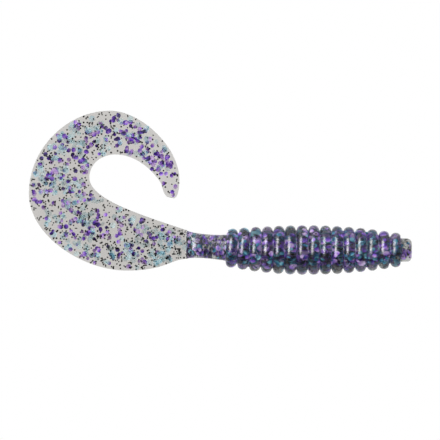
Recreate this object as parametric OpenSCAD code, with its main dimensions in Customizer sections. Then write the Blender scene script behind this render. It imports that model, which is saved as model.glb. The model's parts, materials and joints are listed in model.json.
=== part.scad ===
// Curly-tail soft plastic worm (a ringed grub). All sizes are in millimetres.
//
// Frame: the origin is the centre of the flat nose face, where a jig head seats.
// +X points out of the nose, along the hook. +Z is up, in the plane of the flat tail blade.
// +Y is across the blade. The whole bait is symmetric about the XZ plane.
//
// The bait is one soft moulding. It is divided at the places where it flexes, which are the
// grooves between its rings and a row of bend lines across the tail blade.

/* [Nose] */
// Length of the nose stub, from its flat face to the first ring
nose_l = 2.9; // [2:0.1:5]
// Diameter of the nose stub
nose_d = 6.2; // [5:0.1:8]
// Radius of the rounded edge around the flat nose face
nose_round = 1.2; // [0.4:0.1:1.8]

/* [Ringed body] */
// Diameter of the ring next to the nose
ring_nose_d = 9.2; // [8.4:0.1:12]
// Diameter of the widest rings
ring_max_d = 13.2; // [12:0.1:15]
// Diameter of the ring next to the neck
ring_neck_d = 10.4; // [8.8:0.1:12]
// Where along the row the body is widest, counted in rings from the nose
widest_ring = 8.5; // [6:0.5:11]
// Distance from the middle of one ring to the middle of the next
ring_pitch = 3.12; // [2.9:0.01:3.6]
// Width of the flexing groove between two rings
groove_w = 0.45; // [0.4:0.01:0.6]

/* [Neck] */
// Length of the round neck, from the last groove to the root of the tail
neck_l = 10.15; // [8:0.05:14]
// Diameter of the neck at both ends
neck_end_d = 7.3; // [6.6:0.1:8.4]
// Diameter of the neck at its waist
neck_waist_d = 6.6; // [5.8:0.1:6.6]
// Length over which the round neck thins down into the flat blade
fairing_l = 2.4; // [1.5:0.1:4]
// How far the tail root stands above the axis of the nose
root_rise = 1.4; // [0.2:0.1:2.5]

/* [Tail blade thickness] */
// Thickness of the blade at its root
blade_root_t = 1.6; // [1.2:0.1:2]
// Thickness of the blade at its tip
blade_tip_t = 1; // [0.8:0.05:1.2]
// Width of the gap at each bend line
bend_gap = 0.3; // [0.26:0.01:0.5]

/* [Tail blade outline, measured from the tail root] */
// Width of the blade at its root
blade_root_w = 7.5; // [6.8:0.1:9]
// Depth of the lowest point of the blade below the root
belly_drop = 6.9; // [5:0.1:10]
// Distance of that lowest point behind the root
belly_x = 16.4; // [14:0.1:19]
// Reach of the rearmost point of the curl behind the root
curl_reach = 42.5; // [38:0.1:48]
// Height of that rearmost point above the root
curl_reach_z = 13.6; // [11:0.1:16]
// Height of the top of the curl above the root
curl_rise = 35.75; // [33:0.05:40]
// Distance of the top of the curl behind the root
curl_rise_x = 20.9; // [18:0.1:23]
// Distance of the foremost point of the tip behind the root
tip_x = 2.3; // [0.5:0.1:3.5]
// Height of that foremost point above the root
tip_z = 17.3; // [16:0.1:20]
// Height of the rounded end of the tip above the root
tip_end_z = 12.4; // [11:0.1:13.5]
// Reach of the rear of the open eye inside the curl
eye_reach = 26.3; // [24:0.1:29]
// Height of that rear point above the root
eye_reach_z = 17.9; // [16:0.1:19.5]
// Height of the top of the eye above the root
eye_rise = 24.05; // [22.5:0.05:26]
// Distance of the top of the eye behind the root
eye_rise_x = 19.4; // [17.5:0.1:21]

/* [Hidden] */
// Every ring and every blade section is a node of its own, so their counts are fixed.
ring_count = 15;
root_section_count = 2;   // blade sections between the neck and the curl
curl_section_count = 9;   // blade sections round the curl, the last of them the tip
blade_count = root_section_count + curl_section_count;

ring_t = ring_pitch - groove_w;
rim_r = ring_t / 2;                         // a ring's rim is fully rounded
body_l = nose_l + ring_count * ring_pitch;  // nose face to the neck's front face
root_x = -(body_l + neck_l);                // where the blade outline begins
neck_tail_l = fairing_l - bend_gap / 2;     // how far the neck's own piece of the blade reaches

// The body is straight at the nose and bends gently upwards from spine_start to the tail root.
spine_start = 30;
spine_run = -root_x - spine_start;
spine_r = (spine_run * spine_run + root_rise * root_rise) / (2 * root_rise);

// The tip runs from its foremost point round its end to its heel, on the side of the eye.
tip_end_x = tip_x + 1.6;
tip_heel_x = tip_x + 4.8;
tip_heel_z = tip_end_z + 3.6;
tip_heel_slope = 66;
tip_front_bend = 2.4;     // how far the tip's front edge runs on before it turns to the end
tip_end_round = 1.2;      // the same for the end itself, on both sides
tip_heel_bend = 2;        // and for the heel

// The upper edge of the blade rises from the root at throat_slope and runs on for throat_run.
throat_slope = 18.3;
throat_run = 15.1;

// How full each quarter turn of the outline is, at its start and at its end. A true ellipse has 0.55.
belly_entry_fullness = [0.29, 0.65];
belly_fullness = [0.46, 0.53];
rear_fullness = [0.55, 0.52];
top_fullness = [0.46, 0.46];
eye_top_fullness = [0.51, 0.63];
eye_top_run = 6.7;        // how far the edge runs on level from the top of the eye to the heel
eye_rear_run = 5.5;       // how far it runs on upright from the rear of the eye to the throat

// The bend lines round the curl fan out from its middle. The first of them points straight down.
curl_mid = [-(eye_reach + tip_heel_x) / 2, eye_reach_z - 2.8];
curl_start = 270;
curl_step = 30;
tip_side_angle = -25;       // clears the tip's end and the blade's root, seen from that middle
under_tip = tip_end_z - 1;  // a level between the root sections and the tip above them
far = 60;                   // longer than any part of the tail
curve_steps = 9;            // straight pieces in each stretch of the outline
$fn = 96;

function two_digits(i) = i < 10 ? str("0", i) : str(i);
function ring_name(i) = str("ring_", two_digits(i));
function blade_name(i) = str("blade_", two_digits(i));

// ---- Spine ----

// Height of the spine, and its slope in degrees, at a place x along the bait
function spine_z(x) =
    -x <= spine_start ? 0 : spine_r - sqrt(spine_r * spine_r - pow(-x - spine_start, 2));
function spine_slope(x) = -x <= spine_start ? 0 : asin((-x - spine_start) / spine_r);

// Puts a child that is drawn along Z from the origin onto the spine at x, pointing to the tail
module on_spine(x) {
    translate([x, 0, spine_z(x)]) rotate([0, spine_slope(x) - 90, 0]) children();
}

// ---- Nose and rings ----

module nose() {
    face_r = nose_d / 2 - nose_round;
    color([0.42, 0.42, 0.46])
        on_spine(0)
            rotate_extrude() {
                square([face_r, nose_l]);
                translate([0, nose_round]) square([nose_d / 2, nose_l - nose_round]);
                intersection() {
                    translate([face_r, nose_round]) circle(nose_round);
                    square([nose_d / 2, nose_l]);
                }
            }
}

function ring_x(i) = -(nose_l + ring_pitch * (i - 0.5) - groove_w / 2);

function ring_d(i) = i < widest_ring
    ? ring_max_d - (ring_max_d - ring_nose_d) * pow((widest_ring - i) / (widest_ring - 1), 2)
    : ring_max_d - (ring_max_d - ring_neck_d) * pow((i - widest_ring) / (ring_count - widest_ring), 2);

module ring(i) {
    flat_r = ring_d(i) / 2 - rim_r;
    color([0.30, 0.30, 0.38])
        on_spine(ring_x(i))
            rotate_extrude() {
                translate([0, -rim_r]) square([flat_r, ring_t]);
                intersection() {
                    translate([flat_r, 0]) circle(rim_r);
                    translate([0, -rim_r]) square([flat_r + ring_t, ring_t]);
                }
            }
}

// ---- Neck ----

// A round bar with a waist, faired down to the blade by a wedge, and the root of the blade itself
module neck() {
    rise = spine_z(root_x) - spine_z(-body_l);
    color([0.38, 0.38, 0.44]) {
        intersection() {
            translate([-body_l, 0, spine_z(-body_l)])
                rotate([0, atan2(rise, neck_l) - 90, 0])
                    intersection() {
                        waisted_bar();
                        fairing_wedge();
                    }
            translate([root_x - neck_tail_l, -far / 2, -far / 2]) cube(far);
        }
        blade_plate(blade_root_t)
            intersection() {
                blade_outline();
                translate([-neck_tail_l, -far]) square([neck_tail_l, far + under_tip]);
            }
    }
}

module waisted_bar() {
    waist_depth = (neck_end_d - neck_waist_d) / 2;
    waist_r = neck_l * neck_l / (8 * waist_depth) + waist_depth / 2;
    rotate_extrude()
        difference() {
            square([neck_end_d / 2, neck_l + fairing_l]);
            translate([neck_waist_d / 2 + waist_r, neck_l / 2]) circle(waist_r, $fn = 360);
        }
}

// The neck's outline seen from above: full width, then tapering to the blade's thickness
module fairing_wedge() {
    full = neck_end_d / 2 + 1;
    shoulder = neck_l - fairing_l;
    rotate([90, 0, 90])
        linear_extrude(height = neck_end_d + 2, center = true)
            polygon([
                [-full, 0],
                [full, 0],
                [full, shoulder],
                [neck_end_d / 2, neck_l - fairing_l / 2],
                [blade_root_t / 2, neck_l + fairing_l],
                [-blade_root_t / 2, neck_l + fairing_l],
                [-neck_end_d / 2, neck_l - fairing_l / 2],
                [-full, shoulder]
            ]);
}

// ---- Tail blade ----

function bezier(a, b, c, d, t) =
    pow(1 - t, 3) * a + 3 * pow(1 - t, 2) * t * b + 3 * (1 - t) * t * t * c + pow(t, 3) * d;

// One stretch of the outline, from a to d, leaving a along out_a and reaching d from out_d
function stretch(a, out_a, d, out_d) =
    [for (k = [0:curve_steps - 1]) bezier(a, a + out_a, d + out_d, d, k / curve_steps)];

// A quarter turn that leaves a level and reaches d upright, and one that does the reverse
function level_to_upright(a, d, fullness) =
    stretch(a, [fullness[0] * (d[0] - a[0]), 0], d, [0, fullness[1] * (a[1] - d[1])]);
function upright_to_level(a, d, fullness) =
    stretch(a, [0, fullness[0] * (d[1] - a[1])], d, [fullness[1] * (a[0] - d[0]), 0]);

// The blade's outline in its own plane, with the tail root as its origin and x to the front
module blade_outline() {
    root_low = [0, -blade_root_w / 2];
    root_high = [0, blade_root_w / 2];
    belly = [-belly_x, -belly_drop];
    rear = [-curl_reach, curl_reach_z];
    top = [-curl_rise_x, curl_rise];
    front = [-tip_x, tip_z];
    tip_end = [-tip_end_x, tip_end_z];
    heel = [-tip_heel_x, tip_heel_z];
    heel_way = [cos(tip_heel_slope), -sin(tip_heel_slope)];
    eye_top = [-eye_rise_x, eye_rise];
    eye_rear = [-eye_reach, eye_reach_z];
    throat_way = [-cos(throat_slope), sin(throat_slope)];
    polygon(concat(
        stretch(
            root_low, [-belly_entry_fullness[0] * belly_x, 0],
            belly, [belly_entry_fullness[1] * belly_x, 0]
        ),
        level_to_upright(belly, rear, belly_fullness),
        upright_to_level(rear, top, rear_fullness),
        level_to_upright(top, front, top_fullness),
        stretch(front, [0, -tip_front_bend], tip_end, [tip_end_round, 0]),
        stretch(tip_end, [-tip_end_round, 0], heel, tip_heel_bend * heel_way),
        stretch(heel, -tip_heel_bend * heel_way, eye_top, [eye_top_run, 0]),
        level_to_upright(eye_top, eye_rear, eye_top_fullness),
        stretch(eye_rear, [0, -eye_rear_run], root_high, throat_run * throat_way),
        [root_high]
    ));
}

// Angle of the bend line in front of blade section i, seen from the middle of the curl
function bend_angle(i) = curl_start - curl_step * (i - root_section_count - 1);

// Where the bend line in front of a root section crosses the blade, measured from the tail root
function root_bend_x(i) = -fairing_l + (curl_mid[0] + fairing_l) * (i - 1) / root_section_count;

function blade_t(i) = blade_root_t + (blade_tip_t - blade_root_t) * (i - 1) / (blade_count - 1);

// The strip of the blade's plane that root section i takes
module root_strip(i) {
    front = root_bend_x(i) - bend_gap / 2;
    rear = root_bend_x(i + 1) + bend_gap / 2;
    translate([rear, -far]) square([front - rear, far + under_tip]);
}

// The fan-shaped piece of the blade's plane that curl section i takes
module curl_fan(i) {
    last = i == blade_count;
    from = bend_angle(i);
    to = last ? tip_side_angle : from - curl_step;
    middle = (from + to) / 2;
    side_from = bend_gap / 2 * [sin(from), -cos(from)];
    side_to = last ? [0, 0] : bend_gap / 2 * [-sin(to), cos(to)];
    corner = last ? side_from : bend_gap / 2 / sin(curl_step / 2) * [cos(middle), sin(middle)];
    translate(curl_mid)
        polygon([
            corner,
            side_to + far * [cos(to), sin(to)],
            1.2 * far * [cos(middle), sin(middle)],
            side_from + far * [cos(from), sin(from)]
        ]);
}

// Extrudes a flat piece of the blade to thickness t, upright in the plane of the bait
module blade_plate(t) {
    translate([root_x, 0, root_rise])
        rotate([90, 0, 0])
            linear_extrude(height = t, center = true) children();
}

module blade(i) {
    color([0.78, 0.77, 0.75])
        blade_plate(blade_t(i))
            intersection() {
                blade_outline();
                if (i <= root_section_count) root_strip(i); else curl_fan(i);
            }
}

// ---- Parts ----

nose();
for (i = [1:ring_count]) ring(i);
neck();
for (i = [1:blade_count]) blade(i);
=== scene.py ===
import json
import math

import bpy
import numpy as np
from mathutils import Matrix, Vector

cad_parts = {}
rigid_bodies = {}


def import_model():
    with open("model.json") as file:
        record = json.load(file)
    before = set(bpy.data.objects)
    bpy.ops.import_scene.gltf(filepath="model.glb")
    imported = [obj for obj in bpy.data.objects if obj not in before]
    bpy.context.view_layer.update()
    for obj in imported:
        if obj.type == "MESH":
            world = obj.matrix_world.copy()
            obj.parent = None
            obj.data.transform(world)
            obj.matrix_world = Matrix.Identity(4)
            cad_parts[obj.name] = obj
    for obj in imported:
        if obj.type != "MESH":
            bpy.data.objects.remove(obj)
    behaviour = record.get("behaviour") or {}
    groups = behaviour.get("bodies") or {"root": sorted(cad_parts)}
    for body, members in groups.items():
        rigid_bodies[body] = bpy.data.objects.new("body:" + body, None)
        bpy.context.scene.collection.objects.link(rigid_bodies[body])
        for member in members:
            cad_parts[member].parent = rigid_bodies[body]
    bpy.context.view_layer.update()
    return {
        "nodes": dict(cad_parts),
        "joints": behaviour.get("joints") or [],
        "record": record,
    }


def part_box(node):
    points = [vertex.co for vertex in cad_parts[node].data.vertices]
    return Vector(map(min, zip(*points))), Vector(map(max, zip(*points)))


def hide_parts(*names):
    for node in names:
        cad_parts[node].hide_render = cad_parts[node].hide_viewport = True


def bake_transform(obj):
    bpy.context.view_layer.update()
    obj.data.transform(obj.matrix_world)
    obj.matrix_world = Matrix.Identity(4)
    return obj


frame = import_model()

# Soft plastic curly-tail worm. The CAD solids carry the joints. This script grows one continuous
# skin of clear smoke plastic over them, cuts it between the joints, and casts the flakes into it
# as small hexagonal plates. The object's lengths are in millimetres and scaled by MM, and
# those of the floor, the lamps and the camera are in metres.

rng = np.random.default_rng(20)
MM = 0.001

# ---- Sizes, in millimetres ----

RIM_HALF_W = 1.4          # half the width of a ring's rounded rim
RIM_H = 1.2               # height of that round, from the ring's flank to its crest
RIM_STEP = 10             # degrees between two stations round a rim
RIM_END = 80              # where a rim's round stops and the groove begins, in degrees
RIM_CUT = 50              # where the skin is cut, on the rim's front shoulder, in degrees
GROOVE_DEPTH = 1.28       # from a ring's crest to the bottom of its groove
GROOVE_BLEND = 0.42       # half the length of the zone about a joint at a groove
NOSE_FACE_R = 1.9         # radius of the flat nose face
NOSE_EDGE_R = 1.2         # rounding between that face and the stub
NOSE_FACE_SHARES = (0, 0.35, 0.7, 0.9)   # where that face has stations, as shares of its radius
GROOVE_HALF_W = 0.12      # half the width of a groove's bottom
GROOVE_RISE = 0.04        # how far that bottom rises at its sides
NECK_L = 10.15            # from the front of the neck to the tail root
NECK_FRONT_R = 3.6        # radius of the neck at its front
NECK_WAIST_R = 3.2        # radius of its arc at the waist
NECK_END_R = 3.5          # and at its two ends
NECK_TAIL_DIP = 0.35      # depth of that arc's waist in the stations that belong to the blade
NECK_FLARE = 0.1          # how much the neck widens over its last 3 mm
BLADE_ROOT_HALF = 0.8     # half the blade's thickness at its root
BLADE_TIP_HALF = 0.5      # and at its tip
BLADE_EDGE = 0.15         # how far in from its edge the blade rounds off
BLADE_CROWN = 0.16        # how much thinner the blade is towards its edges, as a share
EDGE_ARC_RISE = 0.08      # how far the arc of that edge rises above half the blade's thickness
EDGE_ARC_LIMIT = 10       # most half heights that the arc rises, where the blade gets narrow
CORNER_BLEND = 0.3        # the arc and the flat blend where they are closer than this
TIP_THIN_L = 1.2          # station run over which the tip thins down to nothing
WEDGE_START = 56.9        # where the round neck starts to thin down into the blade
WEDGE_END = 59.9          # and where it has the blade's thickness
WEDGE_HALF = 3.6          # half the thickness that it starts from
UNLIMITED = 9.0           # a thickness limit above every radius, for the round part
SPINE_START = 30.0        # the spine is straight up to here
ROOT_RISE = 1.4           # height of the tail root above the nose axis
BEND_SHARE = 0.96         # how much of the room beside a blade's joint that joint's zone takes
CUT_GAP = 0.004           # air left between two neighbouring skin pieces
AROUND = 112              # points round each cross-section
STATION_STEP = 0.5        # between two stations in the neck and the blade
ROOT_STEP = 0.3           # and near the tail root
STATION_GAP = 0.12        # least run between a station and a cut
TIP_RUN = 6               # last part of the blade, where the stations crowd toward the tip
TIP_STATIONS = 26         # stations in that part
TINY = 1e-4               # least edge radius and half height, in place of 0

# The blade's outline as (x, z) from the tail root, as in the CAD source: the outer edge runs
# over the belly, rear, top and front, and the inner edge over the eye's rear and top and the heel.
ROOT_HALF_W = 3.75
BELLY = (-16.4, -6.9)
REAR = (-42.5, 13.6)
TOP = (-20.9, 35.75)
FRONT = (-2.3, 17.3)
TIP_END = (-3.9, 12.4)
HEEL = (-7.1, 16.0)
EYE_TOP = (-19.4, 24.05)
EYE_REAR = (-26.3, 17.9)
CURL_MID = (-16.7, 15.1)  # the curl's middle, from which its stations fan out
CURL_MM_PER_DEG = 0.25    # how the station coordinate advances round the curl
CURL_START = 270          # direction of the curl's first station, in degrees
OUTLINE_STEPS = 40        # points on each curve of the outline

# ---- The frame: bodies, joints and rings ----

joints = frame["joints"]
bodies = [joints[0]["parent"]] + [j["child"] for j in joints]
ring_names = sorted(n for n in frame["nodes"] if n.startswith("ring_"))


def middle_and_radius(ring):
    """How far back from the nose a ring's middle lies, and its radius."""
    low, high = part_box(ring)
    return -(low.x + high.x) / 2 / MM, (high.y - low.y) / 2 / MM


rings = [middle_and_radius(n) for n in ring_names]
ring_pitch = (rings[-1][0] - rings[0][0]) / (len(rings) - 1)
body_end = -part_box("neck")[1].x / MM
ROOT_T = body_end + NECK_L          # the tail root, measured back from the nose
CURL_T = ROOT_T - CURL_MID[0]       # where the stations start to fan out
NECK_CUT = body_end + 0.4           # where the skin is cut at the neck
BLADE_FROM_T = ROOT_T - 1.4         # where the blade's own stations start
TAIL_TINT_T = WEDGE_END + 0.1       # where the tail's tint takes over
spine_run = ROOT_T - SPINE_START
spine_r = (spine_run ** 2 + ROOT_RISE ** 2) / (2 * ROOT_RISE)


def smooth(x, low, high):
    x = np.clip((x - low) / (high - low), 0, 1)
    return x * x * (3 - 2 * x)


def spine_z(t):
    """Height of the spine: level, then an arc up to the tail root."""
    run = np.clip(t - SPINE_START, 0, spine_run)
    return spine_r - np.sqrt(spine_r ** 2 - run ** 2)


def spine_slope(t):
    run = np.clip(t - SPINE_START, 0, spine_run)
    return np.arcsin(run / spine_r) * (1 - smooth(t, ROOT_T - 3, ROOT_T + 1))


# ---- The blade's outline ----


def bezier(a, out_a, out_d, d):
    t = np.linspace(0, 1, OUTLINE_STEPS)[:, None]
    a, d = np.array(a, float), np.array(d, float)
    b, c = a + out_a, d + out_d
    return (1 - t) ** 3 * a + 3 * (1 - t) ** 2 * t * b + 3 * (1 - t) * t * t * c + t ** 3 * d


def level_to_upright(a, d, start, end):
    """A quarter of an oval that leaves a level and reaches d upright."""
    return bezier(a, (start * (d[0] - a[0]), 0), (0, end * (a[1] - d[1])), d)


def upright_to_level(a, d, start, end):
    """A quarter of an oval that leaves a upright and reaches d level."""
    return bezier(a, (0, start * (d[1] - a[1])), (end * (a[0] - d[0]), 0), d)


def along(degrees, length):
    return length * math.cos(math.radians(degrees)), length * math.sin(math.radians(degrees))


outer_edge = np.vstack([
    bezier((0, -ROOT_HALF_W), (0.29 * BELLY[0], 0), (-0.65 * BELLY[0], 0), BELLY),
    level_to_upright(BELLY, REAR, 0.46, 0.53),
    upright_to_level(REAR, TOP, 0.55, 0.52),
    level_to_upright(TOP, FRONT, 0.46, 0.46),
    bezier(FRONT, (0, -2.4), (1.2, 0), TIP_END),
])
inner_edge = np.vstack([
    bezier((0, ROOT_HALF_W), along(180 - 18.3, 15.1), (0, -5.5), EYE_REAR),
    upright_to_level(EYE_REAR, EYE_TOP, 0.63, 0.51),
    bezier(EYE_TOP, (6.7, 0), along(180 - 66, 2), HEEL),
    bezier(HEEL, along(-78, 2.9), (-1.9, 0), TIP_END),
])


def polar(edge):
    """Angle and radius of an edge's points seen from the curl's middle, from CURL_START down."""
    away = edge - np.array(CURL_MID)
    angle = np.degrees(np.unwrap(np.arctan2(away[:, 1], away[:, 0])))
    angle += 360 * round((CURL_START - angle[np.abs(away[:, 0]).argmin()]) / 360)
    return angle, np.hypot(away[:, 0], away[:, 1])


def increasing(x, y):
    order = np.argsort(x)
    return x[order], y[order]


outer_angle, outer_r = polar(outer_edge)
inner_angle, inner_r = polar(inner_edge)
tip_angle = outer_angle[-1]
TIP_T = CURL_T + (CURL_START - tip_angle) * CURL_MM_PER_DEG


def curl_angle(t):
    return CURL_START - (t - CURL_T) / CURL_MM_PER_DEG


# ---- Stations: one cross-section each ----


def nose_profile():
    """The flat nose face, its rounded edge, the stub and the fillet up to the first ring."""
    points = [(0, share * NOSE_FACE_R) for share in NOSE_FACE_SHARES]
    for a in range(0, 91, 15):
        points.append((
            NOSE_EDGE_R * (1 - math.cos(math.radians(a))),
            NOSE_FACE_R + NOSE_EDGE_R * math.sin(math.radians(a)),
        ))
    stub = NOSE_FACE_R + NOSE_EDGE_R
    face = rings[0][0] - RIM_HALF_W
    points += [(1.6, stub), (2.0, stub), (face - 0.35, stub), (face - 0.12, stub + 0.03)]
    return points + [(face + 0.04, stub + 0.14), (face + 0.12, stub + 0.38)]


def ring_profile():
    """The round rims of the rings and the grooves between them."""
    points = []
    for i, (mid, radius) in enumerate(rings):
        start = -60 if i == 0 else -RIM_END
        end = 90 if i == len(rings) - 1 else RIM_END
        for a in range(start, end + 1, RIM_STEP):
            points.append((
                mid + RIM_HALF_W * math.sin(math.radians(a)),
                radius - RIM_H * (1 - math.cos(math.radians(a))),
            ))
        if i < len(rings) - 1:
            bottom = (radius + rings[i + 1][1]) / 2 - GROOVE_DEPTH
            at = mid + ring_pitch / 2
            points += [
                (at - GROOVE_HALF_W, bottom + GROOVE_RISE), (at, bottom),
                (at + GROOVE_HALF_W, bottom + GROOVE_RISE),
            ]
    return points


def neck_profile():
    """The waisted neck, from the last ring to just before the tail root."""
    waist_t = (body_end + ROOT_T) / 2
    half = (ROOT_T - body_end) / 2
    points = [(body_end - 0.1, NECK_FRONT_R + 0.12), (body_end, NECK_FRONT_R)]
    even_t = list(np.arange(body_end + 0.8, BLADE_FROM_T, STATION_STEP))
    for t in [body_end + 0.15, NECK_CUT] + even_t:
        lift = (NECK_END_R - NECK_WAIST_R) * ((t - waist_t) / half) ** 2
        points.append((t, NECK_WAIST_R + lift + NECK_FLARE * smooth(t, ROOT_T - 3, ROOT_T)))
    return points


# Distance back from the nose and radius of the round part.
profile = nose_profile() + ring_profile() + neck_profile()


def joint_station(joint):
    """Station coordinate of a joint, from how far back it lies or its direction in the curl."""
    x, _, z = (c / MM for c in joint["pos_m"])
    if -x < CURL_T + 0.01 and z < ROOT_RISE + CURL_MID[1] - 2:
        return -x
    angle = math.degrees(math.atan2(z - ROOT_RISE - CURL_MID[1], x + ROOT_T - CURL_MID[0]))
    return CURL_T + (CURL_START - angle % 360) * CURL_MM_PER_DEG


joint_t = [joint_station(j) for j in joints]
cuts = [mid - RIM_HALF_W * math.sin(math.radians(RIM_CUT)) for mid, _ in rings[1:]] + [NECK_CUT]
cuts += [(a + b) / 2 for a, b in zip(joint_t[len(rings):], joint_t[len(rings) + 1:])]
blade_t = np.concatenate([
    np.arange(BLADE_FROM_T, ROOT_T + 5, ROOT_STEP),
    np.arange(ROOT_T + 5, TIP_T - TIP_RUN, STATION_STEP),
    TIP_T - TIP_RUN * (1 - np.sin(np.linspace(0, math.pi / 2, TIP_STATIONS))),
])
blade_t = np.array([t for t in blade_t if min(abs(t - c) for c in cuts) > STATION_GAP])
blade_t = np.sort(np.concatenate([blade_t, cuts[len(rings):]]))

t_body, r_body = (np.array(c, float) for c in zip(*profile))


def blade_middle_and_half(t):
    """Middle (x, z) of the blade at a station, and half its height there."""
    x = -t
    low = np.interp(x + ROOT_T, *increasing(*outer_edge[:2 * OUTLINE_STEPS].T))
    high = np.interp(x + ROOT_T, *increasing(*inner_edge[:OUTLINE_STEPS].T))
    straight = np.array([x, ROOT_RISE + (low + high) / 2, (high - low) / 2])
    angle = curl_angle(t)
    far = np.interp(angle, *increasing(outer_angle, outer_r))
    near = np.interp(angle, *increasing(inner_angle, inner_r))
    reach, a = (far + near) / 2, math.radians(angle)
    curled = np.array([
        -ROOT_T + CURL_MID[0] + reach * math.cos(a),
        ROOT_RISE + CURL_MID[1] + reach * math.sin(a),
        (far - near) / 2,
    ])
    return straight if t < CURL_T else curled


blade_rows = np.array([blade_middle_and_half(t) for t in blade_t])
station_t = np.concatenate([t_body, blade_t])
middle_x = np.concatenate([-t_body, blade_rows[:, 0]])
in_neck = blade_t < ROOT_T
blade_rows[in_neck, 1] = spine_z(blade_t[in_neck])
middle_z = np.concatenate([spine_z(t_body), blade_rows[:, 1]])
from_waist = (blade_t[in_neck] - (body_end + ROOT_T) / 2) / (NECK_L / 2)
neck_half = NECK_END_R + NECK_FLARE * smooth(blade_t[in_neck], ROOT_T - 3, ROOT_T)
blade_rows[in_neck, 2] = neck_half - NECK_TAIL_DIP * (1 - from_waist ** 2)
half_height = np.concatenate([r_body, blade_rows[:, 2]])
slope = spine_slope(station_t)
way_angle = np.where(
    station_t < CURL_T, np.radians(CURL_START) - slope, np.radians(curl_angle(station_t))
)
way_x, way_z = np.cos(way_angle), np.sin(way_angle)

wedge_run = np.clip((station_t - WEDGE_START) / (WEDGE_END - WEDGE_START), 0, 1)
wedge = BLADE_ROOT_HALF + (WEDGE_HALF - BLADE_ROOT_HALF) * (1 - wedge_run ** 2) ** 0.75
plate = np.interp(station_t, [ROOT_T, TIP_T], [BLADE_ROOT_HALF, BLADE_TIP_HALF])
plate *= np.sqrt(1 - (1 - np.clip((TIP_T - station_t) / TIP_THIN_L, 0, 1)) ** 2)
half_thick = np.where(station_t < WEDGE_START, UNLIMITED, np.maximum(wedge, plate))
to_plate = smooth(station_t, WEDGE_START, ROOT_T + 3)
edge_r = half_height + (np.minimum(BLADE_EDGE, half_height) - half_height) * to_plate
edge_r = np.maximum(edge_r, TINY)
edge_bulge = half_height + (plate + EDGE_ARC_RISE - half_height) * to_plate
most_bulge = np.maximum(half_height, TINY) * (1 + (EDGE_ARC_LIMIT - 1) * to_plate)
edge_bulge = np.minimum(edge_bulge, most_bulge)


def thickness_at(share, height, thick, edge, bulge):
    """Half the thickness at a share of the half height from the middle, from 0 to 1."""
    over = np.clip(share * height - (height - edge), 0, edge) / edge
    arc = bulge * np.sqrt(np.clip(1 - over ** 2, 0, 1))
    limit = thick * (1 - BLADE_CROWN * share ** 2)
    h = np.clip(CORNER_BLEND - np.abs(arc - limit), 0, None) / CORNER_BLEND
    blend = h * h * CORNER_BLEND / 4 * np.minimum(arc / CORNER_BLEND, 1)
    return np.maximum(np.minimum(arc, limit) - blend, 0)


def skin_points():
    """The points round each station, in metres."""
    turn = np.linspace(0, 2 * math.pi, AROUND, endpoint=False)
    share, side = np.cos(turn), np.sign(np.round(np.sin(turn), 9))
    a = share[None, :] * half_height[:, None]
    y = side * thickness_at(
        np.abs(share)[None, :],
        *(v[:, None] for v in (half_height, half_thick, edge_r, edge_bulge)),
    )
    x = middle_x[:, None] + a * way_x[:, None]
    z = middle_z[:, None] + a * way_z[:, None]
    return np.stack([x, y, z], axis=2) * MM


points = skin_points()
station_count = len(station_t)


def new_mesh(name, verts, faces, smooth_shaded=True):
    mesh = bpy.data.meshes.new(name)
    mesh.from_pydata([tuple(v) for v in verts], [], faces)
    mesh.update()
    mesh.polygons.foreach_set("use_smooth", [smooth_shaded] * len(mesh.polygons))
    return mesh


def shell_faces(rows, closed):
    """Quads between rows of AROUND points, then a fan of triangles at each end if it is closed."""
    faces = []
    for s in range(rows - 1):
        for k in range(AROUND):
            n = (k + 1) % AROUND
            faces.append((s * AROUND + k, (s + 1) * AROUND + k, (s + 1) * AROUND + n, s * AROUND + n))
    shell = len(faces)
    if closed:
        last, hub = (rows - 1) * AROUND, rows * AROUND
        faces += [(k, (k + 1) % AROUND, hub) for k in range(AROUND)]
        faces += [(last + (k + 1) % AROUND, last + k, hub + 1) for k in range(AROUND)]
    return faces, shell


def whole_normals():
    """Smooth normals of the whole skin, one for each point of each station."""
    faces, _ = shell_faces(station_count, False)
    mesh = new_mesh("whole", points.reshape(-1, 3), faces)
    normals = np.zeros(len(mesh.vertices) * 3, np.float32)
    mesh.vertex_normals.foreach_get("vector", normals)
    bpy.data.meshes.remove(mesh)
    return normals.reshape(station_count, AROUND, 3)


normals = whole_normals()
normals[:len(NOSE_FACE_SHARES)] = (1, 0, 0)


# ---- Materials ----


def material(name):
    mat = bpy.data.materials.new(name)
    mat.use_nodes = True
    nt = mat.node_tree
    return mat, nt, nt.nodes["Principled BSDF"], nt.nodes["Material Output"]


def set_inputs(shader, **values):
    """Sets inputs by name, with _ for each space."""
    for key, value in values.items():
        shader.inputs[key.replace("_", " ")].default_value = value


def node(nt, kind, **values):
    """A new node, with its properties or inputs set by name."""
    n = nt.nodes.new(kind)
    for key, value in values.items():
        if hasattr(n, key):
            setattr(n, key, value)
        else:
            set_inputs(n, **{key: value})
    return n


def add_coat(nt, skin):
    """A glossy coat, full where the skin faces the eye and gone where it turns away."""
    set_inputs(skin, Coat_IOR=2.0, Coat_Roughness=0.32)
    facing = node(nt, "ShaderNodeLayerWeight", Blend=0.5)
    gloss = node(nt, "ShaderNodeMapRange", interpolation_type="SMOOTHSTEP")
    set_inputs(gloss, From_Min=0.25, From_Max=0.55, To_Min=1, To_Max=0)
    nt.links.new(facing.outputs["Facing"], gloss.inputs["Value"])
    nt.links.new(gloss.outputs["Result"], skin.inputs["Coat Weight"])


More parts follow.
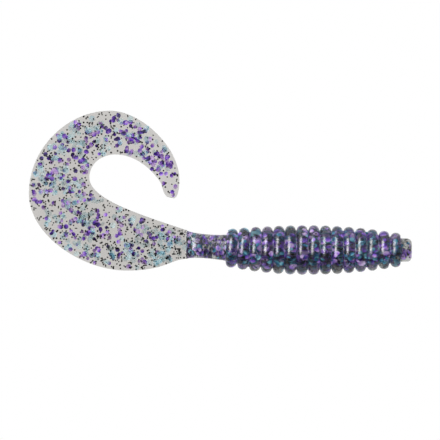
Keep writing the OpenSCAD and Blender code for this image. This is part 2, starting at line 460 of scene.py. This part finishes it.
def clear_inside(nt, skin, out):
    """Faces between two skin pieces don't show, and no face of the skin casts a shadow."""
    clear = node(nt, "ShaderNodeBsdfTransparent")
    inner = node(nt, "ShaderNodeAttribute", attribute_name="inner_face")
    light = node(nt, "ShaderNodeLightPath")
    either = node(nt, "ShaderNodeMath", operation="MAXIMUM")
    nt.links.new(inner.outputs["Fac"], either.inputs[0])
    nt.links.new(light.outputs["Is Shadow Ray"], either.inputs[1])
    mix = node(nt, "ShaderNodeMixShader")
    nt.links.new(either.outputs[0], mix.inputs[0])
    nt.links.new(skin.outputs[0], mix.inputs[1])
    nt.links.new(clear.outputs[0], mix.inputs[2])
    nt.links.new(mix.outputs[0], out.inputs["Surface"])


def smoke_plastic(name, ior, colour, density, roughness, coated):
    """Clear soft plastic with a smoke tint that deepens with its thickness."""
    mat, nt, skin, out = material(name)
    set_inputs(skin, Base_Color=(1, 1, 1, 1), Transmission_Weight=1, IOR=ior, Roughness=roughness)
    if coated:
        add_coat(nt, skin)
    clear_inside(nt, skin, out)
    smoke = node(nt, "ShaderNodeVolumeAbsorption", Color=(*colour, 1), Density=density)
    nt.links.new(smoke.outputs[0], out.inputs["Volume"])
    return mat


def foil(name, stops, roughness, specular, alpha=1.0):
    """Foil of several shades: each flake's own tone, with the painted sheen across it, picks one from
    the ramp.
    """
    mat, nt, skin, _ = material(name)
    tone = node(nt, "ShaderNodeAttribute", attribute_name="tone")
    ramp = node(nt, "ShaderNodeValToRGB")
    while len(ramp.color_ramp.elements) < len(stops):
        ramp.color_ramp.elements.new(0.5)
    for element, (at, colour) in zip(ramp.color_ramp.elements, stops):
        element.position = at
        element.color = (*colour, 1)
    nt.links.new(tone.outputs["Fac"], ramp.inputs["Fac"])
    nt.links.new(ramp.outputs["Color"], skin.inputs["Base Color"])
    set_inputs(skin, Roughness=roughness, Specular_IOR_Level=specular, Alpha=alpha)
    return mat


body_plastic = smoke_plastic(
    "body_smoke", ior=1.36, colour=(0.36, 0.38, 0.36), density=225, roughness=0.25, coated=True,
)
tail_plastic = smoke_plastic(
    "tail_smoke", ior=1.4, colour=(0.435, 0.41, 0.375), density=735, roughness=0.2, coated=False,
)
pepper = foil("black_pepper", [
    (0.0, (0.002, 0.002, 0.003)),
    (1.0, (0.012, 0.011, 0.012)),
], roughness=0.5, specular=0.1)
# The foil's purples run from deep indigo to violet, partly their own colour and partly painted light:
# the darkest stops are painted shade on flakes turned from the light, and the pale lilac stops are a
# painted glint.
purple = foil("purple_foil", [
    (0.0, (0.015, 0.003, 0.10)),
    (0.3, (0.09, 0.018, 0.44)),
    (0.55, (0.31, 0.11, 0.92)),
    (0.76, (0.65, 0.38, 1.0)),
    (1.0, (0.78, 0.58, 1.0)),
], roughness=0.3, specular=0.5)
teal = foil("teal_foil", [
    (0.0, (0.003, 0.045, 0.13)),
    (0.5, (0.007, 0.125, 0.30)),
    (0.8, (0.025, 0.28, 0.47)),
    (1.0, (0.22, 0.60, 0.76)),
], roughness=0.3, specular=0.5)
haze = foil("teal_haze", [
    (0.0, (0.27, 0.75, 0.98)),
    (1.0, (0.66, 0.95, 1.0)),
], roughness=0.4, specular=0.3, alpha=0.24)

# ---- Skin pieces ----


def row_at(t):
    """Index of the station nearest to a station coordinate."""
    return int(np.abs(station_t - t).argmin())


def spans():
    """Name, joint, first and last station, material and slot of each skin piece."""
    at = [row_at(c) for c in cuts]
    rows = list(zip([0] + at, at + [station_count - 1]))
    neck, root = len(rings), row_at(TAIL_TINT_T)
    out = []
    for index, (first, last) in enumerate(rows):
        if index == neck:
            out.append(("neck", index, first, root, body_plastic, "body_smoke"))
            out.append(("root", index, root, last, tail_plastic, "tail_smoke"))
        elif index < neck:
            out.append((f"{index + 1:02d}", index, first, last, body_plastic, "body_smoke"))
        else:
            out.append((f"{index + 1:02d}", index, first, last, tail_plastic, "tail_smoke"))
    return out


def bend_zone(index, first, last):
    """Start and end points of a zone about a joint, kept inside the piece's own stations."""
    j = joints[index]
    pos = np.array(j["pos_m"])
    ahead = np.array([middle_x[first], 0, middle_z[first]]) * MM - pos
    axis = np.array(j["axis"], float)
    way = np.cross(axis, (0, 1, 0)) if abs(axis[1]) < 0.5 else np.array([-1.0, 0, 0])
    way /= np.linalg.norm(way)
    if way @ ahead > 0:
        way = -way
    if index < len(rings):
        reach = GROOVE_BLEND * MM
    else:
        sides = [points[first] - pos]
        if index < len(joints) - 1:
            sides.append(points[last] - pos)
        reach = BEND_SHARE * min(np.abs(side @ way).min() for side in sides)
    return pos - reach * way, pos + reach * way


def link(name, data):
    ob = bpy.data.objects.new(name, data)
    bpy.context.scene.collection.objects.link(ob)
    return ob


def cut_rows(first, last):
    """A span's points, with half of the gap taken off at each end that meets another piece."""
    verts = points[first:last + 1].copy()
    spine = np.array([middle_x, middle_x * 0, middle_z]).T * MM
    ends = []
    if first > 0:
        ends.append((0, first, first + 1))
    if last < station_count - 1:
        ends.append((last - first, last, last - 1))
    for row, station, next_in in ends:
        step = spine[next_in] - spine[station]
        verts[row] += step / np.linalg.norm(step) * CUT_GAP / 2 * MM
    return verts


def mark_inner(mesh, shell, first, last):
    """Marks the end faces that meet another piece, and returns the mark of each face."""
    values = np.zeros(len(mesh.polygons), np.float32)
    if first > 0:
        values[shell:shell + AROUND] = 1
    if last < station_count - 1:
        values[shell + AROUND:] = 1
    mesh.attributes.new("inner_face", "FLOAT", "FACE").data.foreach_set("value", values)
    return values


def share_normals(mesh, shell, first, last, inner):
    """Gives a piece the whole skin's normals, so that no seam shows, and flat inner faces."""
    own = normals[first:last + 1].reshape(-1, 3)
    own = np.vstack([own, normals[first].mean(0), normals[last].mean(0)])
    corner_vertex = np.zeros(len(mesh.loops), np.int32)
    mesh.loops.foreach_get("vertex_index", corner_vertex)
    corner_normals = own[corner_vertex]
    for poly in list(mesh.polygons)[shell:]:
        if inner[poly.index]:
            corner_normals[list(poly.loop_indices)] = poly.normal
    mesh.normals_split_custom_set([tuple(n) for n in corner_normals])


def skin_piece(name, first, last, plastic):
    """One closed piece of the skin, from its first station to its last."""
    verts = cut_rows(first, last)
    hubs = [verts[0].mean(0), verts[-1].mean(0)]
    faces, shell = shell_faces(len(verts), True)
    mesh = new_mesh(f"skin_{name}", np.vstack([verts.reshape(-1, 3), hubs]), faces)
    inner = mark_inner(mesh, shell, first, last)
    mesh.materials.append(plastic)
    share_normals(mesh, shell, first, last, inner)
    return link(f"skin_{name}", mesh)


# ---- Flakes ----

BLADE_FLAKES_T = ROOT_T - 1    # where the blade's flakes start
SPILL = 3.5                    # how far the body's flakes thin out on both sides of that
OUTER_RUN = 1.9                # about the most that run_per_station gives, round the curl's rear
FLAKE_DEPTH = 0.03             # least depth of a flake under the surface
# Painted sheen: a flake's tone is raised on one side and lowered on the other, as a painted highlight
# and painted shade.
FLAKE_PAINTED_SHEEN = 0.36             # how far a flake's tone goes up and down across it
PAST_TIP_ANGLE = 300           # directions above this lie below 0, at the tip's end of the curl
HEXAGON = [(math.cos(math.radians(a)), math.sin(math.radians(a))) for a in range(0, 360, 60)]
PLATE_FACES = [(5, 4, 3, 2, 1, 0), (6, 7, 8, 9, 10, 11)]
PLATE_FACES += [(k, (k + 1) % 6, (k + 1) % 6 + 6, k + 6) for k in range(6)]


def stations_at(t):
    """Middle, way, half height, half thickness and edge at any station coordinate."""
    order = np.maximum.accumulate(station_t + np.arange(station_count) * 1e-9)
    rows = (middle_x, middle_z, way_x, way_z, half_height, half_thick, edge_r, edge_bulge)
    return [np.interp(t, order, row) for row in rows]


def inside(p, in_curl, margin):
    """True where a point (in mm) lies in the plastic, at least margin under the surface."""
    away_x, away_z = p[:, 0] + ROOT_T - CURL_MID[0], p[:, 2] - ROOT_RISE - CURL_MID[1]
    angle = np.degrees(np.arctan2(away_z, away_x)) % 360
    angle = np.where(angle > PAST_TIP_ANGLE, angle - 360, angle)
    t = np.where(in_curl, CURL_T + (CURL_START - angle) * CURL_MM_PER_DEG, -p[:, 0])
    mx, mz, wx, wz, height, thick, edge, bulge = stations_at(t)
    a = np.abs((p[:, 0] - mx) * wx + (p[:, 2] - mz) * wz)
    share = np.minimum(a / np.maximum(height, 1e-6), 1)
    room = thickness_at(share, height, thick, edge, bulge)
    fits = (a < height - margin) & (np.abs(p[:, 1]) < room - margin)
    return fits & (t > margin) & (t < TIP_T - margin)


def run_per_station(t, middle):
    """Millimetres that one unit of the station coordinate covers at a place in the blade."""
    away = np.hypot(middle[:, 0] + ROOT_T - CURL_MID[0], middle[:, 2] - ROOT_RISE - CURL_MID[1])
    return np.where(t < CURL_T, 1, away * math.radians(1) / CURL_MM_PER_DEG)


def unit(vectors):
    return vectors / np.linalg.norm(vectors, axis=1)[:, None]


def plastic_before_stations():
    """Station coordinates, and how much of the plastic lies before each."""
    height = np.maximum(half_height, 0.01)
    run = np.maximum.accumulate(station_t)
    section = height * np.minimum(half_thick, height)
    return run, np.concatenate([[0], np.cumsum(np.diff(run) * section[1:])])


def random_middles(n, radius, in_blade, clumping):
    """Random places, in groups of clumping: their stations, shares of the half height, and points."""
    run, volume = plastic_before_stations()
    root, spill = np.interp([BLADE_FLAKES_T, BLADE_FLAKES_T + SPILL], run, volume)
    low, high = (root, volume[-1]) if in_blade else (0, spill)
    group = np.arange(n) // clumping
    near = radius * 3 * (clumping > 1)
    t = np.interp(low + (high - low) * rng.random(n)[group], volume, run)
    t = t + near * rng.normal(size=n) * (0.35 if in_blade else 1)
    mx, mz, wx, wz, height, thick, _, _ = stations_at(t)
    a = (2 * rng.random(n)[group] - 1) * height + near * rng.normal(size=n)
    y = (2 * rng.random(n) - 1) * np.minimum(height, thick)
    return t, a / np.maximum(height, 1e-6), np.stack([mx + a * wx, y, mz + a * wz], axis=1)


def kept(t, share, middle, density, in_blade):
    """Draws which places to keep: by density, and evenly round the curl or thinning at the root."""
    keep = rng.random(len(t)) < density(t, share, middle)
    if in_blade:
        return keep & (rng.random(len(t)) < run_per_station(t, middle) / OUTER_RUN)
    return keep & (rng.random(len(t)) > smooth(t, BLADE_FLAKES_T - SPILL, BLADE_FLAKES_T + SPILL))


def random_facings(t, tilt_in_blade):
    """The way that each plate faces: any way in the body, and near to y in the blade."""
    n = len(t)
    free = rng.normal(size=(n, 3))
    free[:, 1] *= 1.5
    tilts = [rng.normal(size=n) * tilt_in_blade for _ in range(2)]
    flat = np.stack([tilts[0], np.ones(n), tilts[1]], axis=1)
    return np.where((t > BLADE_FLAKES_T - SPILL)[:, None], unit(flat), unit(free))


def plates(middle, facing, radius, thickness):
    """The 12 corners of a hexagonal plate at each place, turned at random about its facing."""
    side = unit(np.cross(facing, rng.normal(size=facing.shape)))
    other = np.cross(facing, side)
    size = radius * (0.8 + 0.4 * rng.random(len(middle)))
    corners = [
        middle + (u * side + v * other) * size[:, None] + facing * level * thickness
        for level in (-0.5, 0.5)
        for u, v in HEXAGON
    ]
    return np.stack(corners, axis=1)


def scatter(count, radius, thickness, tilt_in_blade, density, in_blade, clumping):
    """Hexagonal plates at random places in the plastic: their corners in mm, and their stations."""
    corners, places = [], []
    while sum(len(c) for c in corners) < count:
        t, share, middle = random_middles(count * 4, radius, in_blade, clumping)
        keep = kept(t, share, middle, density, in_blade)
        plate = plates(middle, random_facings(t, tilt_in_blade), radius, thickness)
        for k in range(plate.shape[1]):
            keep &= inside(plate[:, k], t >= CURL_T, FLAKE_DEPTH)
        corners.append(plate[keep])
        places.append(t[keep])
    return np.concatenate(corners)[:count], np.concatenate(places)[:count]


def even(t, share, middle):
    """The same density everywhere."""
    return np.ones(len(t))


def thinned_ends(t):
    """The nose stub and the neck hold fewer flakes than the rings do."""
    return 0.15 + 0.85 * smooth(t, 2.5, 7) * (1 - 0.5 * smooth(t, body_end - 4, body_end + 2))


def core(middle, rim=0.25):
    """Fewer flakes lie far from the body's axis, so the rings' rims stay clear: rim is their share."""
    off_axis = np.hypot(middle[:, 1], middle[:, 2] - spine_z(-middle[:, 0]))
    return 1 - (1 - rim) * smooth(off_axis, 2.5, 5.5)


def teal_density(t, share, middle):
    """Blue-green flakes lie in the body, and fewer of them at its two ends."""
    return thinned_ends(t) * core(middle, 0.3) * (1 - 0.7 * smooth(t, body_end - 3, body_end + 2))


def pepper_density(t, share, middle):
    """Black flakes lie all over, with more of them low behind the tail root."""
    low_root = np.exp(-((t - ROOT_T - 9) / 7) ** 2) * (share > -0.2)
    blade = 0.55 + 0.45 * low_root
    clumps = 0.5 + 0.5 * np.sin(middle[:, 0] * 1.1 + 2) * np.sin(middle[:, 2] * 1.3 + 1)
    return np.where(t > ROOT_T, blade * (0.6 + 0.4 * clumps), core(middle))


def purple_density(t, share, middle):
    """Purple flakes lie in the body, in clumps in the blade, and closer together near the tip."""
    clumps = 0.5 + 0.5 * np.sin(middle[:, 0] * 0.9 + 1) * np.sin(middle[:, 2] * 0.8)
    near_root = 1 - smooth(t, ROOT_T + 4, ROOT_T + 22)
    near_tip = smooth(t, TIP_T - 34, TIP_T - 14)
    blade = 0.08 + 0.34 * clumps ** 1.5 * (1 - 0.55 * near_root) + 0.5 * near_tip
    return np.where(t > ROOT_T, blade, (0.1 + 0.6 * thinned_ends(t)) * core(middle))


# Material, count, radius, thickness, tilt in the blade, density, True for flakes of the blade or
# False for those of the body, and how many make a group.
FLAKES = [
    (pepper, 1180, 0.235, 0.04, 0.35, pepper_density, True, 1),
    (pepper, 3000, 0.22, 0.04, 0.5, pepper_density, False, 1),
    (purple, 350, 0.62, 0.03, 0.35, purple_density, True, 5),
    (purple, 1700, 0.66, 0.03, 0.4, purple_density, False, 3),
    (haze, 300, 0.80, 0.02, 0.4, even, True, 6),
    (teal, 2000, 0.55, 0.02, 0.6, teal_density, False, 4),
]
FLAKE_MATERIALS = [pepper, purple, teal, haze]


def cast_flakes():
    """Every flake: its corners, station, material index and tone."""
    rows = []
    for mat, *rule in FLAKES:
        corners, places = scatter(*rule)
        index = FLAKE_MATERIALS.index(mat)
        rows.append((corners, places, np.full(len(places), index), rng.random(len(places)) ** 0.7))
    return [np.concatenate(column) for column in zip(*rows)]


flake_corners, flake_t, flake_kind, flake_tone = cast_flakes()


def flake_piece(index, low, high):
    """All flakes between two station coordinates, as one mesh."""
    mine = (flake_t >= low) & (flake_t < high)
    corners, kind, tone = flake_corners[mine], flake_kind[mine], flake_tone[mine]
    faces = [tuple(12 * n + c for c in face) for n in range(len(corners)) for face in PLATE_FACES]
    face_kind = np.repeat(kind, len(PLATE_FACES)).astype(np.int32)
    mesh = new_mesh(f"flakes_{index + 1:02d}", corners.reshape(-1, 3) * MM, faces, False)
    for mat in FLAKE_MATERIALS:
        mesh.materials.append(mat)
    mesh.polygons.foreach_set("material_index", face_kind)
    # A painted sheen: each flake's tone rises on one side and falls on the other, a painted highlight
    # and painted shade across the plate.
    painted_sheen = FLAKE_PAINTED_SHEEN * np.array([u for u, _ in HEXAGON] * 2)
    tone_and_painted_sheen = (tone[:, None] + painted_sheen[None, :]).ravel().astype(np.float32)
    mesh.attributes.new("tone", "FLOAT", "POINT").data.foreach_set("value", tone_and_painted_sheen)
    return link(f"flakes_{index + 1:02d}", mesh)


# ---- Assembly ----

edges_t = [-1] + cuts + [TIP_T + 1]
zones = [bend_zone(i, row_at(a), row_at(b)) for i, (a, b) in enumerate(zip(edges_t, edges_t[1:]))]
body_nodes = frame["record"]["behaviour"]["bodies"]
for name, index, first, last, plastic, slot in spans():
    skin = skin_piece(name, first, last, plastic)
    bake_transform(skin)
    stands_for = bodies[index + 1] if name == "root" else bodies[index]
    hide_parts(*body_nodes[stands_for])
    if index == len(joints) - 1:
        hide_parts(*body_nodes[bodies[-1]])
for index in range(len(joints)):
    flakes = flake_piece(index, edges_t[index], edges_t[index + 1])
    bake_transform(flakes)

# ---- Floor, light and camera ----

FLOOR_Z = -0.1                # height of the floor
FLOOR_X = -0.05               # where its middle lies along the bait
FLOOR_HALF = 0.72             # half its side
WORLD_LIGHT = 0.7             # strength of the world as light, where the camera sees it at 1
CAMERA_DISTANCE = 1.2         # from the camera to TARGET
PICTURE_WIDTH = 117.33 * MM   # what the picture spans at the bait
TARGET = np.array([-51.07, 0, 8.0]) * MM   # what the camera and the lamps are turned to


def floor():
    mesh = bpy.data.meshes.new("floor")
    corners = [(-1, -1), (1, -1), (1, 1), (-1, 1)]
    verts = [(x * FLOOR_HALF, y * FLOOR_HALF, FLOOR_Z) for x, y in corners]
    mesh.from_pydata(verts, [], [(0, 1, 2, 3)])
    ob = link("floor", mesh)
    ob.location.x = FLOOR_X
    mat, _, skin, _ = material("floor_white")
    set_inputs(skin, Base_Color=(0.86, 0.86, 0.86, 1), Roughness=0.9)
    mesh.materials.append(mat)
    ob.visible_glossy = False


def world():
    """White to the eye and through the plastic, dimmer as light, and a sweep in the gloss."""
    studio = bpy.data.worlds.new("studio")
    bpy.context.scene.world = studio
    studio.use_nodes = True
    nt = studio.node_tree
    back = nt.nodes["Background"]
    light = node(nt, "ShaderNodeLightPath")
    seen = node(nt, "ShaderNodeMath", operation="MAXIMUM")
    nt.links.new(light.outputs["Is Camera Ray"], seen.inputs[0])
    nt.links.new(light.outputs["Is Transmission Ray"], seen.inputs[1])
    where = node(nt, "ShaderNodeTexCoord")
    split = node(nt, "ShaderNodeSeparateXYZ")
    nt.links.new(where.outputs["Generated"], split.inputs[0])
    sweep = node(nt, "ShaderNodeMapRange", interpolation_type="SMOOTHSTEP")
    set_inputs(sweep, From_Min=-0.3, From_Max=0.7, To_Min=0.04, To_Max=1.0)
    nt.links.new(split.outputs["Y"], sweep.inputs["Value"])
    gloss = node(nt, "ShaderNodeMix", A=WORLD_LIGHT)
    nt.links.new(light.outputs["Is Glossy Ray"], gloss.inputs["Factor"])
    nt.links.new(sweep.outputs["Result"], gloss.inputs["B"])
    strength = node(nt, "ShaderNodeMix", B=1.0)
    nt.links.new(seen.outputs[0], strength.inputs["Factor"])
    nt.links.new(gloss.outputs["Result"], strength.inputs["A"])
    set_inputs(back, Color=(1, 1, 1, 1))
    nt.links.new(strength.outputs["Result"], back.inputs["Strength"])


def from_target(azimuth, elevation, distance):
    """A place seen from TARGET: azimuth 0 is the camera's side, and it grows toward +x."""
    a, e = math.radians(azimuth), math.radians(elevation)
    return TARGET + distance * np.array([
        math.sin(a) * math.cos(e), -math.cos(a) * math.cos(e), math.sin(e)
    ])


def aim(ob, place):
    """Puts a lamp or camera at a place, turned toward TARGET."""
    ob.location = place
    ob.rotation_euler = Vector(TARGET - place).to_track_quat("-Z", "Y").to_euler()


def softbox(name, azimuth, elevation, distance, width, height, power, for_gloss):
    """A lamp that shows in the gloss alone, or one that lights all but the gloss."""
    lamp = bpy.data.lights.new(name, "AREA")
    lamp.shape = "RECTANGLE"
    lamp.size, lamp.size_y = width, height
    lamp.energy = power
    ob = link(name, lamp)
    aim(ob, from_target(azimuth, elevation, distance))
    ob.visible_camera = False
    ob.visible_transmission = False
    ob.visible_glossy = for_gloss
    ob.visible_diffuse = not for_gloss


def camera():
    cam = bpy.data.cameras.new("camera")
    cam.lens = cam.sensor_width * CAMERA_DISTANCE / PICTURE_WIDTH
    cam.clip_start, cam.clip_end = 0.01, 20
    ob = link("camera", cam)
    aim(ob, from_target(0, 0, CAMERA_DISTANCE))
    bpy.context.scene.camera = ob


floor()
world()
softbox(
    "gloss_upper", azimuth=-36, elevation=42, distance=1.5, width=1.05, height=0.8,
    power=13, for_gloss=True,
)
softbox(
    "gloss_lower", azimuth=-36, elevation=-2, distance=1.5, width=1.05, height=0.95,
    power=21, for_gloss=True,
)
softbox(
    "key", azimuth=-25, elevation=50, distance=1.2, width=0.8, height=0.8,
    power=8, for_gloss=False,
)
camera()
bpy.context.scene.view_settings.view_transform = "Standard"
